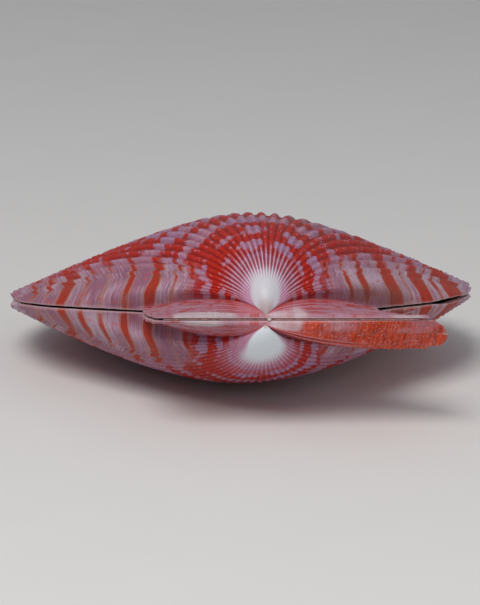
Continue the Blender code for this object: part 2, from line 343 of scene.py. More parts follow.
# Studio
LIT_PLACE = (0.0, -0.01, 0.012)
KEY_LIGHT = {"place": (-0.16, -0.36, 0.52), "size": 0.32, "colour": (1.0, 0.98, 0.96)}
FILL_LIGHT = {"place": (0.45, -0.30, 0.20), "size": 0.40, "colour": (0.95, 0.97, 1.0)}
SKY_COLOUR = (0.92, 0.94, 1.0, 1.0)
FLOOR_HALF = 2.0
CAMERA_NEAR = 0.01


def length_property(name, description, default):
    """A length in metres with its name, description and default."""
    return FloatProperty(name=name, description=description, default=default, unit="LENGTH", precision=5)


def angle_property(name, description, degrees):
    """An angle with its name and description, given in degrees and kept in radians."""
    return FloatProperty(
        name=name, description=description, default=math.radians(degrees), subtype="ANGLE"
    )


def power_property(name, description, default):
    """The power of a light in watts with its name, description and default."""
    return FloatProperty(name=name, description=description, default=default, unit="POWER")


def colour_property(name, description, default):
    """A colour with its name, description and default, in linear light."""
    return FloatVectorProperty(
        name=name, description=description, default=default, size=3, subtype="COLOR"
    )


class ScallopShape(PropertyGroup):
    """Sizes of the shell and of its surface relief."""

    disc_width: length_property("Disc width", "Widest measure across the ribbed disc", 0.0668)
    ventral_semi_axis: length_property(
        "Ventral semi-axis", "Half of the disc's length, as an ellipse", 0.0305
    )
    apex_half_angle: angle_property(
        "Apex half angle",
        "Angle between the disc's middle line and its straight edges beside the ears",
        48.0,
    )
    ribbed_half_angle: angle_property(
        "Ribbed half angle", "Angle between the disc's middle line and its outermost rib", 43.0
    )
    rib_count: IntProperty(name="Ribs", description="Ribs of the upper valve", default=25, min=5)
    rib_height: length_property(
        "Rib height", "Height of the ribs above their grooves at the valve's edge", 0.0009
    )
    thread_height: length_property(
        "Thread height", "Height of the fine threads that run along each rib", 0.00010
    )
    scale_height: length_property("Scale height", "Height of the small scales on the outer ribs", 0.00016)
    growth_step_height: length_property(
        "Growth step height", "Height of the uneven growth steps across the disc", 0.00006
    )
    upper_growth: FloatProperty(
        name="Upper growth", description="Growth of the upper valve for each radian", default=2.16
    )
    lower_growth: FloatProperty(
        name="Lower growth", description="Growth of the lower valve for each radian", default=2.57
    )
    rest_pitch: angle_property(
        "Rest pitch", "Angle by which the hinge is raised as the shell rests on its belly", 9.5
    )
    valve_gap: length_property("Valve gap", "Space between the closed valves", 0.0005)
    seam: length_property("Seam", "Visible width of the dark line between the valves", 0.00034)


class ScallopColours(PropertyGroup):
    """Colours of the shell, its ligament and the floor."""

    lilac_white: colour_property("Lilac white", "Light ground on the ribs", (0.58, 0.29, 0.39))
    violet: colour_property("Violet", "Cooler light ground on the ribs", (0.49, 0.29, 0.48))
    # Mauve in the grooves is partly painted shade between the ribs
    mauve_and_groove_shade: colour_property("Mauve", "Ground in the grooves", (0.40, 0.12, 0.19))
    red_orange: colour_property("Red orange", "Markings on the ribs", (0.58, 0.017, 0.002))
    # Deep red in the grooves is partly painted shade between the ribs
    deep_red_and_groove_shade: colour_property("Deep red", "Markings in the grooves", (0.30, 0.006, 0.004))
    flank_white: colour_property("Flank white", "Light ground of the smooth flanks", (0.62, 0.44, 0.55))
    flank_lilac: colour_property("Flank lilac", "Dull ground of the smooth flanks", (0.38, 0.16, 0.24))
    flank_orange: colour_property("Flank orange", "Bands of the smooth flanks", (0.38, 0.034, 0.002))
    pink_red: colour_property("Pink red", "Faint dashes of the flanks", (0.60, 0.14, 0.12))
    band_edge: colour_property("Band edge", "Pale yellow line along a band", (0.58, 0.33, 0.24))
    # Maroon also serves as painted shade on the flanks next to the ears
    maroon_and_ear_shade: colour_property("Maroon", "Grooves between the rays around a beak", (0.16, 0.012, 0.020))
    ray_white: colour_property("Ray white", "Rays around a beak", (0.74, 0.46, 0.60))
    beak_tip: colour_property("Beak tip", "Dull tip of a beak", (0.58, 0.46, 0.47))
    halo: colour_property("Halo", "Pink around the white beaks", (0.62, 0.30, 0.46))
    ear_pink: colour_property("Ear pink", "Ground of the ears", (0.62, 0.28, 0.35))
    ear_red: colour_property("Ear red", "Flecks of the ears", (0.58, 0.05, 0.03))
    byssal_red: colour_property("Byssal red", "The rough ear over the notch", (0.90, 0.095, 0.024))
    hinge_white: colour_property("Hinge white", "Edges along the hinge", (0.77, 0.62, 0.65))
    rust: colour_property("Rust", "Stain beside the ears", (0.30, 0.09, 0.06))
    inside: colour_property("Inside", "Inner surface", (0.78, 0.60, 0.62))
    ligament: colour_property("Ligament", "Dry horny strip along the hinge", (0.50, 0.27, 0.27))
    bead: colour_property("Bead", "Glassy bead at the middle of the hinge", (0.55, 0.52, 0.48))
    floor: colour_property("Floor", "Plain pale floor", (0.80, 0.79, 0.77))


class ScallopStudio(PropertyGroup):
    """Camera and light."""

    camera_distance: length_property("Camera distance", "From the beaks to the camera", 0.45)
    camera_azimuth: angle_property(
        "Camera azimuth", "Turn of the camera to the posterior side of the hinge", 2.66
    )
    camera_elevation: angle_property(
        "Camera elevation", "Height of the camera above the floor as an angle", 14.1
    )
    camera_roll: angle_property("Camera roll", "Turn of the camera about its own line of sight", 0.65)
    focal_length: FloatProperty(
        name="Focal length", description="Lens of the camera in millimetres", default=199.5
    )
    beak_right: length_property(
        "Beak to the right", "How far the beaks show to the right of the picture's middle", 0.00353
    )
    beak_below: length_property(
        "Beak below", "How far the beaks show below the picture's middle", 0.00228
    )
    key_power: power_property("Key light", "Power of the key light", 2.5)
    fill_power: power_property("Fill light", "Power of the fill light", 0.3)
    sky_strength: FloatProperty(
        name="Sky", description="Strength of the even light all round", default=0.30
    )


# Numbers that the shapes are made of


def smoothstep(low, high, value):
    """0 at low, 1 at high, and between them 3 t squared minus 2 t cubed. It falls where low is higher."""
    t = np.clip((value - low) / (high - low), 0.0, 1.0)
    return t * t * (3.0 - 2.0 * t)


def rib_profile(rib):
    """1 on a rib's crest and 0 in a groove: a cosine of the rib number flattened by tanh."""
    wave = np.tanh(RIB_STEEPNESS * np.cos(2.0 * math.pi * rib))
    return 0.5 + 0.5 * wave / math.tanh(RIB_STEEPNESS)


def sawtooth(phase):
    """Rises from 0 to 1 over most of each period and falls back over the rest: lapped scales."""
    part = phase % 1.0
    return np.where(part < 0.75, part / 0.75, (1.0 - part) / 0.25)


def lattice_noise(x, y, seed):
    """Smooth noise from -1 to 1: random values at whole numbers of x and y, with smoothstep between."""
    size = 256
    table = np.random.default_rng(seed).uniform(-1.0, 1.0, (size, size))
    x, y = np.broadcast_arrays(x, y)
    low_x, low_y = np.floor(x).astype(int), np.floor(y).astype(int)
    u, v = x - low_x, y - low_y
    u, v = u * u * (3.0 - 2.0 * u), v * v * (3.0 - 2.0 * v)
    a = table[low_x % size, low_y % size]
    b = table[(low_x + 1) % size, low_y % size]
    c = table[low_x % size, (low_y + 1) % size]
    d = table[(low_x + 1) % size, (low_y + 1) % size]
    return (a * (1 - u) + b * u) * (1 - v) + (c * (1 - u) + d * u) * v


def running_mean(values, width):
    """Each value replaced by the mean of the values within half a width, along the first axis."""
    half = width // 2
    padded = np.concatenate([np.repeat(values[:1], half, 0), values, np.repeat(values[-1:], half, 0)])
    sums = np.cumsum(np.concatenate([0 * padded[:1], padded]), axis=0)
    return (sums[2 * half + 1 :] - sums[: -2 * half - 1]) / (2 * half + 1)


def turn_angle(stage, growth):
    """Angle about the hinge at a growth stage: minus the logarithm of the stage over the growth, eased
    to a stop at the beak by tanh."""
    raw = -np.log(stage) / growth
    eased = TURN_LINEAR + TURN_SOFT * np.tanh((raw - TURN_LINEAR) / TURN_SOFT)
    return np.where(raw < TURN_LINEAR, raw, eased)


def smooth_path(points, count):
    """Evenly spread samples of a Catmull-Rom curve through the points, the last one left out."""
    known = np.array(points)
    padded = np.vstack([2 * known[0] - known[1], known, 2 * known[-1] - known[-2]])
    position = np.linspace(0.0, len(known) - 1.0, count, endpoint=False)
    span = np.minimum(position.astype(int), len(known) - 2)
    t = (position - span)[:, None]
    a, b, c, d = (padded[span + step] for step in range(4))
    curve = 2 * b + (c - a) * t + (2 * a - 5 * b + 4 * c - d) * t**2
    return 0.5 * (curve + (3 * b - a - 3 * c + d) * t**3)


# The outline of a valve and what lies where along it


def disc_ellipse(shape):
    """Semi-axes and centre of the ellipse that the disc's edge follows: the centre is so far from the
    beak that straight edges at the apex angle just touch it."""
    across = shape.disc_width / 2
    reach = across / math.tan(shape.apex_half_angle)
    return across, shape.ventral_semi_axis, math.hypot(shape.ventral_semi_axis, reach)


def disc_radius(shape, angle):
    """Distance from the beak to the ellipse in a direction: the far root of its quadratic."""
    across, along, centre = disc_ellipse(shape)
    s, c = np.sin(angle), np.cos(angle)
    square = (s / across) ** 2 + (c / along) ** 2
    half = c * centre / along**2
    return (half + np.sqrt(half**2 - square * ((centre / along) ** 2 - 1.0))) / square


def shoulder_points(shape, count):
    """Points on the ellipse from the outermost rib to where the straight edge touches it."""
    across, along, centre = disc_ellipse(shape)
    edge = shape.ribbed_half_angle
    radius = float(disc_radius(shape, edge))
    start = math.atan2((radius * math.cos(edge) - centre) / along, radius * math.sin(edge) / across)
    turns = np.linspace(start, math.asin(-along / centre), count)
    return np.column_stack([across * np.cos(turns), centre + along * np.sin(turns), 0 * turns])


def outline(shape, valve, growth):
    """The valve's edge from the posterior end of the hinge to the anterior end: ear, flank, ellipse,
    flank and ear. It gives arrays with one entry for each column: places, rib numbers that are counted
    on over the flanks, the weights of the regions, and the factors that turn the growth stage into the
    level of a colour ring or band, upright distance from the middle line over the ribs' own."""
    posterior = smooth_path(POSTERIOR_EAR, POSTERIOR_EAR_COLUMNS)
    anterior = smooth_path(valve["anterior_ear"][::-1], ANTERIOR_EAR_COLUMNS)[::-1]
    shoulder = shoulder_points(shape, SHOULDER_COLUMNS)
    touch = shoulder[-1]
    share = np.linspace(0.0, 1.0, FLANK_COLUMNS, endpoint=False)[:, None]
    left_flank = np.array(POSTERIOR_EAR[-1]) * (1 - share) + touch * (-1, 1, 1) * share
    right_flank = np.array(valve["anterior_ear"][0]) * (1 - share) + touch * share
    right_flank[:, 2] *= (1 - share[:, 0]) ** 2

    half_count = shape.rib_count / 2
    last_rib = half_count - LAST_RIB_MARGIN
    ribs = np.linspace(-last_rib, last_rib, shape.rib_count * COLUMNS_PER_RIB)
    pitch = 2 * shape.ribbed_half_angle / shape.rib_count
    radius = disc_radius(shape, ribs * pitch)
    scalloped = radius + EDGE_SCALLOP * (2 * rib_profile(ribs - valve["rib_shift"]) - 1)
    direction = np.column_stack([np.sin(ribs * pitch), np.cos(ribs * pitch), 0 * ribs])

    before = (posterior, left_flank, shoulder[::-1] * (-1, 1, 1))
    after = (shoulder, right_flank[::-1], anterior)
    points = np.vstack([*before, direction * scalloped[:, None], *after])
    plain = np.vstack([*before, direction * radius[:, None], *after])
    upright_x = np.abs(plain[:, 0])
    lean = np.outer(LEAN_PER_METRE * plain[:, 1], (1, 0, 0))
    points, plain = points + lean, plain + lean

    count = len(points)
    column = np.arange(count)
    first_rib = sum(len(part) for part in before)
    after_ribs = first_rib + len(ribs)
    on_disc = (column >= first_rib) & (column < after_ribs)
    ribbed = np.zeros(count)
    ribbed[on_disc] = smoothstep(half_count, half_count - 1, np.abs(ribs))
    beside = SHOULDER_COLUMNS + FLANK_COLUMNS
    counted = (first_rib - beside, first_rib, after_ribs - 1, after_ribs - 1 + beside)
    furthest = last_rib + FLANK_RIBS
    rib = np.interp(column, counted, (-furthest, -last_rib, last_rib, furthest))

    left = column < count / 2
    notch = np.where(left, POSTERIOR_EAR_COLUMNS - column, ANTERIOR_EAR_COLUMNS - column[::-1])
    ear = smoothstep(-1.5, 1.5, notch)
    is_ear = ear > 0.5
    edge_x = abs(shoulder[0, 0])
    beyond_ribs = np.where(left, first_rib - column, column - after_ribs)
    reach = edge_x * (1 + FLANK_REACH * smoothstep(0, SHOULDER_COLUMNS, beyond_ribs))
    reach = np.where(is_ear, np.where(left, POSTERIOR_EAR_REACH, valve["tip_reach"]), reach)
    level = np.where(on_disc, np.maximum(1.0, upright_x / edge_x), upright_x / reach)
    bend = 1 + valve["band_bend"] * smoothstep(furthest, BANDS_BEND_FROM, np.abs(rib))
    sideways = plain[:, 0] ** 2 / (plain[:, 0] ** 2 + plain[:, 1] ** 2)
    return {
        "points": points,
        "plain": plain,
        "rib": rib,
        "ribbed": ribbed,
        "left": left,
        "ear": ear,
        "ear_share": np.minimum(column / POSTERIOR_EAR_COLUMNS, column[::-1] / ANTERIOR_EAR_COLUMNS),
        "notch": notch,
        "byssal": np.where(left, 0.0, ear) * valve["byssal"],
        "ring_factor": np.where(on_disc | is_ear, 1.0, level),
        "band_factor": level * bend,
        "thickness": np.where(is_ear, EAR_EDGE_THICKNESS, DISC_EDGE_THICKNESS),
        "growth": growth * (1 + valve["side_growth"] * sideways),
    }


def turned(stage, points, growth):
    """The outline at growth stages, a row for each: shrunk by the stage and turned about the hinge."""
    angle = turn_angle(stage, growth)
    c, s = np.cos(angle), np.sin(angle)
    x, y, z = points.T
    return np.stack([stage * x, stage * (y * c - z * s), stage * (y * s + z * c)], axis=-1)


def surface_normals(surface):
    """Unit normals of a grid of points: the cross product of its two central differences."""
    normal = np.cross(np.gradient(surface, axis=1), np.gradient(surface, axis=0))
    return normal / (np.linalg.norm(normal, axis=2)[:, :, None] + 1e-15)


def edge_wave(edge):
    """How far the line where the valves meet rises and falls with the ribs, the same for both valves."""
    return EDGE_WAVE * (2 * rib_profile(edge["rib"]) - 1) * edge["ribbed"]


# Relief on the outside of a valve


def relief_size(stage):
    """How the relief grows away from the beak: a power of the stage, faded in near the beak."""
    return stage**RELIEF_POWER * smoothstep(*RELIEF_STAGES, stage)


def disc_relief(shape, valve, edge, stage, lamella):
    """Ribs that get lower at the sides, the threads along them, growth steps and scales: waves of the
    rib number times waves of the growth stage, all growing with the stage."""
    rib = edge["rib"] - valve["rib_shift"]
    number = np.floor(rib + 0.5)
    seed = valve["seed"]
    crest = rib_profile(rib)
    height = 1.0 + 0.08 * lattice_noise(number * 0.77, stage * 6.0, seed)
    flatter = 1.0 - (1.0 - SIDE_RELIEF) * smoothstep(*SIDE_RIBS, np.abs(rib))
    ribs = shape.rib_height * flatter * (crest * height - 0.55)
    thread_wave = np.cos(2.0 * math.pi * THREADS_PER_RIB * rib)
    threads = shape.thread_height * thread_wave * smoothstep(0.15, 0.4, stage)
    scale_phase = stage * DISC_LENGTH / SCALE_PITCH
    scale_phase = scale_phase + lattice_noise(number * 1.31, stage * 9.0, seed + 1)
    outer = np.abs(rib) + 9.0 * smoothstep(0.8, 1.0, stage)
    scales_show = smoothstep(0.45, 0.8, stage) * smoothstep(2.0, 9.0, outer) * smoothstep(0.6, 1.0, crest)
    scales = shape.scale_height * sawtooth(scale_phase) ** 2 * scales_show
    step_wave = lattice_noise(lamella * DISC_LENGTH / GROWTH_STEP_PITCH, rib * 0.12, seed + 2)
    steps = shape.growth_step_height * step_wave * smoothstep(0.1, 0.3, stage)
    return edge["ribbed"] * relief_size(stage) * (ribs + threads + scales) + steps


def ear_relief(valve, edge, stage, lamella):
    """Riblets that fan out from the beak, a sawtooth of lapped growth edges across them, and a fine
    grain of noise."""
    left, share, seed = edge["left"], edge["ear_share"], valve["seed"]
    riblet = -np.cos(2.0 * math.pi * np.where(left, *valve["riblets"]) * share)
    height = np.where(left, *valve["riblet_height"])
    along = lamella * np.where(left, POSTERIOR_EAR_REACH, valve["tip_reach"])
    wander = 0.7 * lattice_noise(share * 7.0, stage * 8.0, seed + 3)
    lapped = sawtooth(along / EAR_LAP_PITCH + wander) * (0.5 + 0.5 * riblet)
    grain = lattice_noise(share * 26.0, along / EAR_GRAIN_PITCH, seed + 4)
    rough = np.where(edge["byssal"] > 0.5, 1.0, SMOOTH_EAR_ROUGHNESS) * smoothstep(0.1, 0.4, stage)
    uneven = EAR_LAP_HEIGHT * lapped + EAR_GRAIN_HEIGHT * grain
    return (relief_size(stage) * riblet * height + rough * uneven) * edge["ear"]


def ear_teeth(edge, valve):
    """Outward push of the rough ear's free edge: uneven teeth on a slow sway, a sum of two noises."""
    share = edge["ear_share"]
    teeth = 0.5 + 0.5 * lattice_noise(share * TEETH_FREQUENCY, 0.5, valve["seed"] + 5)
    sway = lattice_noise(share * SWAY_FREQUENCY, 0.5, valve["seed"] + 6)
    push = TOOTH_HEIGHT * teeth**1.5 + SWAY_HEIGHT * sway
    return push * edge["byssal"] * smoothstep(0.0, 0.15, share)


def toothed(edge, valve, share=1.0):
    """The factor by which the rough ear's teeth stretch the outline away from the beak: 1 and a share
    of the push over the distance."""
    distance = np.maximum(np.linalg.norm(edge["points"], axis=1), LEAST_DISTANCE)
    return 1.0 + share * ear_teeth(edge, valve) / distance


def outer_surface(shape, valve, edge, stage):
    """The outside of a valve as a grid: the growth spiral moved along its normals by the relief."""
    lamella = stage * edge["band_factor"]
    spread = toothed(edge, valve, smoothstep(0.93, 1.0, stage))
    surface = turned(stage, edge["points"], edge["growth"]) * spread[:, :, None]
    relief = disc_relief(shape, valve, edge, stage, lamella) * (1 - edge["ear"])
    relief = relief + ear_relief(valve, edge, stage, lamella)
    surface = surface + surface_normals(surface) * relief[:, :, None]
    thinning = EAR_TIP_THICKNESS * edge["ear"] * smoothstep(0.3, 1.0, stage)
    surface[:, :, 2] += shape.valve_gap / 2 + edge["thickness"] - thinning
    return surface


def inset(points, width):
    """An outline moved inwards by a width in its own plane, along smoothed normals."""
    along = running_mean(np.gradient(points[:, :2], axis=0), SMOOTHING_COLUMNS)
    along /= np.linalg.norm(along, axis=1)[:, None]
    moved = points.copy()
    moved[:, 0] += along[:, 1] * width
    moved[:, 1] -= along[:, 0] * width
    return moved


def inner_surface(shape, valve, edge, inner_edge, stage):
    """The inside as a grid: a flatter growth spiral about a line just behind the hinge line."""
    surface = turned(stage, inner_edge, edge["growth"] * WALL_GROWTH_FACTOR)
    surface[:, :, 1] += HINGE_PLATE_WIDTH
    wave = valve["side"] * edge_wave(edge) * smoothstep(0.6, 1.0, stage)
    surface[:, :, 2] += shape.seam / 2 + wave
    return surface


# Colour fields, worked out for each vertex and sharpened in the material


def ring_phase(level):
    """Number of the concentric rings: near the beak a logarithm of the level, and further out evenly
    spaced rings added to it."""
    logarithm = np.log(np.minimum(level, EVEN_RINGS_FROM) / RINGS_COUNTED_FROM)
    return RINGS_PER_LOG * logarithm + EVEN_RINGS * np.maximum(level - EVEN_RINGS_FROM, 0.0)


def markings_field(valve, edge, stage, bands):
    """Above 0 where the disc is red. Concentric waves whose phase drifts from rib to rib, blocks of
    noise a few ribs wide and the larger markings as flat-topped bumps. Towards the flanks their bands
    take over, except near the beak, where the rings run on to the ears."""
    rib = edge["rib"] - valve["rib_shift"]
    number = np.floor(rib + 0.5)
    seed = valve["seed"] + 20
    level = stage * edge["ring_factor"]
    rings = ring_phase(level)
    drift = 0.45 * lattice_noise(number * 0.19, rings * 0.3, seed) * smoothstep(0.15, 0.5, level)
    jitter = 0.12 * lattice_noise(number, rings * 0.8, seed + 1)
    wave = -np.cos(2.0 * math.pi * (rings + drift + jitter))
    patch = lattice_noise(number * 0.37, rings * 0.9, seed + 2)
    ringed = 1.05 - 0.45 * smoothstep(0.30, 0.55, level)
    patched = 0.30 + 0.50 * smoothstep(0.2, 0.5, level)
    field = ringed * wave + patched * patch + valve["red_share"]
    shifted = np.log(level) + 0.06 * lattice_noise(number, rings * 0.7, seed + 3)
    for centre, at, half_width, half_length, strength in valve["markings"]:
        across = ((number - centre) / (half_width + 0.35)) ** 4
        along = ((shifted - math.log(at)) / half_length) ** 4
        field = field + MARKING_STRENGTH * strength * np.exp(-across - along)
    flank_field = np.clip(bands / BAND_SOFTNESS + 0.9 * patch, -1.3, 1.0)
    beside = 0.85 * smoothstep(8.0, 12.0, np.abs(edge["rib"])) * smoothstep(0.20, 0.36, level)
    return field * (1 - beside) + flank_field * beside


def band_field(lamella, flank_bands):
    """Above 0 inside a flank's bands: half width minus distance, the largest over the bands."""
    centres, halves = np.array(flank_bands).T
    return np.max(halves - np.abs(lamella[:, :, None] - centres), axis=2)


def worn_white(valve, edge, stage):
    """Share of white on a worn beak: it fades with the stage and away from its own direction, and the
    very tip is white over nearly the whole disc."""
    angle = np.degrees(np.arctan2(edge["plain"][:, 0], edge["plain"][:, 1]))
    broad = smoothstep(*valve["broad_stages"][::-1], stage)
    width = valve["umbo_half_angle"] * (1 - broad) + TIP_HALF_ANGLE * broad
    away = np.abs(angle - valve["umbo_towards"])
    across = smoothstep(width + BEAK_SOFTNESS, width - BEAK_SOFTNESS, away)
    return (1 - edge["ear"]) * smoothstep(*valve["umbo_stages"][::-1], stage) * across


def hinge_white(valve, edge, x):
    """Share of white in patches along the hinge: each is a parabola over its length, as high as its
    share of the ear, with ragged ends."""
    ragged = 1.0 + 0.35 * lattice_noise(x / 0.0016, 0.5, valve["seed"] + 40)
    white = np.zeros(x.shape)
    for start, end, strength, share in valve["strips"]:
        within = np.clip(1.0 - (2.0 * (x - start) / (end - start) - 1.0) ** 2, 0.0, 1.0)
        height = share * within**0.8 * ragged + 1e-4
        below = smoothstep(height * 1.5, height * 0.5, edge["ear_share"])
        white = np.maximum(white, strength * smoothstep(0.0, 1.0, within * ragged) * below)
    return white


def colour_fields(valve, edge, stage, surface):
    """The five vector attributes of the outside, which the material reads: where a point lies in the
    growth of the valve, in which regions, under which markings and tints, and how far along an ear."""
    rib = edge["rib"] - valve["rib_shift"]
    lamella = stage * edge["band_factor"]
    noise = lattice_noise(np.floor(rib + 0.5), stage * 9.0, valve["seed"] + 31)
    stepped = lamella + BAND_STEP * noise * edge["ribbed"]
    posterior, anterior = (band_field(stepped, bands) for bands in (POSTERIOR_BANDS, ANTERIOR_BANDS))
    bands = np.where(edge["left"], posterior, anterior)
    x = surface[:, :, 0]
    halo = (1 - edge["ear"]) * smoothstep(valve["halo_stage"], 0.06, stage)
    stain = 0.75 * smoothstep(0.009, 0.015, x) * smoothstep(0.023, 0.018, x)
    fields = {
        "growth_map": (rib, lamella, stage),
        "regions": (edge["ribbed"], edge["ear"], edge["byssal"]),
        "marks": (markings_field(valve, edge, stage, bands), bands, worn_white(valve, edge, stage)),
        "tints": (halo, hinge_white(valve, edge, x), stain),
        "places": (0.0, edge["ear_share"], edge["notch"]),
    }
    return {key: [np.broadcast_to(part, x.shape) for part in parts] for key, parts in fields.items()}


# Meshes


def grid_quads(numbers):
    """Corners of the quads between neighbouring rows and columns of a grid of vertex numbers."""
    return np.stack(
        [numbers[:-1, :-1], numbers[:-1, 1:], numbers[1:, 1:], numbers[1:, :-1]], axis=-1
    ).reshape(-1, 4)


def stitch(first, second):
    """Triangles between two rows of vertex numbers that may differ in length. Each step along one row
    is joined to the vertex of the other row at the same share of its length."""
    steps, other = len(first) - 1, len(second) - 1
    i, j = np.arange(steps), np.arange(other)
    apex = np.rint((i + 0.5) / steps * other).astype(int)
    back = np.searchsorted(apex, j, side="right")
    one_way = np.column_stack([first[i], first[i + 1], second[apex]])
    other_way = np.column_stack([second[j + 1], second[j], first[back]])
    return np.vstack([one_way, other_way])


def build_mesh(name, points, quads, triangles, attributes):
    """A mesh from arrays, its faces turned outwards by the sign of the enclosed volume."""
    corners = np.vstack([triangles, quads[:, [0, 1, 2]], quads[:, [0, 2, 3]]])
    a, b, c = (points[corners[:, k]] for k in range(3))
    if np.einsum("ij,ij->i", a, np.cross(b, c)).sum() < 0:
        quads, triangles = quads[:, ::-1], triangles[:, ::-1]
    mesh = bpy.data.meshes.new(name)
    mesh.vertices.add(len(points))
    mesh.vertices.foreach_set("co", points.astype(np.float32).ravel())
    loops = np.concatenate([quads.ravel(), triangles.ravel()]).astype(np.int32)
    starts = np.concatenate([4 * np.arange(len(quads)), 4 * len(quads) + 3 * np.arange(len(triangles))])
    mesh.loops.add(len(loops))
    mesh.loops.foreach_set("vertex_index", loops)
    mesh.polygons.add(len(starts))
    mesh.polygons.foreach_set("loop_start", starts.astype(np.int32))
    mesh.update(calc_edges=True)
    for key, values in attributes.items():
        layer = mesh.attributes.new(key, "FLOAT_VECTOR", "POINT")
        layer.data.foreach_set("vector", values.astype(np.float32).ravel())
    mesh.shade_smooth()
    mesh.set_sharp_from_angle(angle=math.radians(SHARP_ANGLE))
    return mesh


def beak_place(shape):
    """Where the beak stands: the box of the solid ligament, less that ligament's own ends, tipped by
    the rest pitch."""
    low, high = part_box("hinge_ligament")
    pitch = shape.rest_pitch
    front = LIGAMENT_FRONT * math.cos(pitch) - LIGAMENT_THICKNESS / 2 * math.sin(pitch)
    top = LIGAMENT_THICKNESS / 2 * math.cos(pitch) - LIGAMENT_FRONT * math.sin(pitch)
    return np.array([low.x - LIGAMENT_POSTERIOR_END, low.y - front, high.z - top])


def laid_down(shape, points):
    """Points of the shell's frame turned about the hinge by the rest pitch and moved to the beak's
    place, with nothing below the floor."""
    c, s = math.cos(shape.rest_pitch), math.sin(shape.rest_pitch)
    x, y, z = points.T
    placed = np.column_stack([x, y * c + z * s, z * c - y * s]) + beak_place(shape)
    placed[:, 2] = np.maximum(placed[:, 2], 0.0)
    return placed


def hinge_chain(end, stages):
    """A hinge end drawn in towards the beak, at every growth stage but the last."""
    return end * np.column_stack([stages[:-1], np.ones((len(stages) - 1, 2))])


def loop_around(row, stages):
    """An edge row closed along the hinge: the row, in along its anterior end, the beak, and out along
    its posterior end."""
    beak = (row[:1] + row[-1:]) / 2 * (0, 1, 1)
    return np.vstack([row, hinge_chain(row[-1], stages)[::-1], beak, hinge_chain(row[0], stages)])


def edge_outwards(edge, stages):
    """Unit vectors that point away from the valve, in its plane, all round the loop of its edge."""
    away = edge["plain"] - inset(edge["plain"], 1.0)
    away[:, 2] = 0.0
    away[[0, -1]] = (0.0, -1.0, 0.0)
    along_hinge = np.tile((0.0, -1.0, 0.0), (2 * len(stages) - 1, 1))
    return np.vstack([away, along_hinge])


def tip_gape(edge, valve):
    """Extra half gap where the rim is chipped beside the anterior tip: a bump with noise on it, and a
    little noise all round the disc."""
    x = edge["plain"][:, 0] - LEAN_PER_METRE * edge["plain"][:, 1]
    bump = np.exp(-(((x - CHIP_PLACE) / CHIP_HALF_WIDTH) ** 4)) * (edge["ribbed"] < 0.5)
    chips = 1.0 + 0.5 * lattice_noise(x / CHIP_PITCH, 0.5, valve["seed"] + 9)
    ragged = lattice_noise(x / RAGGED_PITCH, 2.5, valve["seed"] + 8) * (1 - edge["ear"])
    return CHIP_GAPE * bump * chips + RAGGED_GAPE * ragged


class Weave:
    """Vertices gathered in blocks. Each takes its colours from a vertex of the outside, its source,
    and says how far inside the valve it lies."""

    def __init__(self):
        self.places, self.sources, self.inside, self.total = [], [], [], 0

    def add(self, places, sources, inside):
        """Adds a block and returns its vertex numbers."""
        numbers = self.total + np.arange(len(places))
        self.places.append(places)
        self.sources.append(sources)
        self.inside.append(np.full(len(places), float(inside)))
        self.total += len(places)
        return numbers


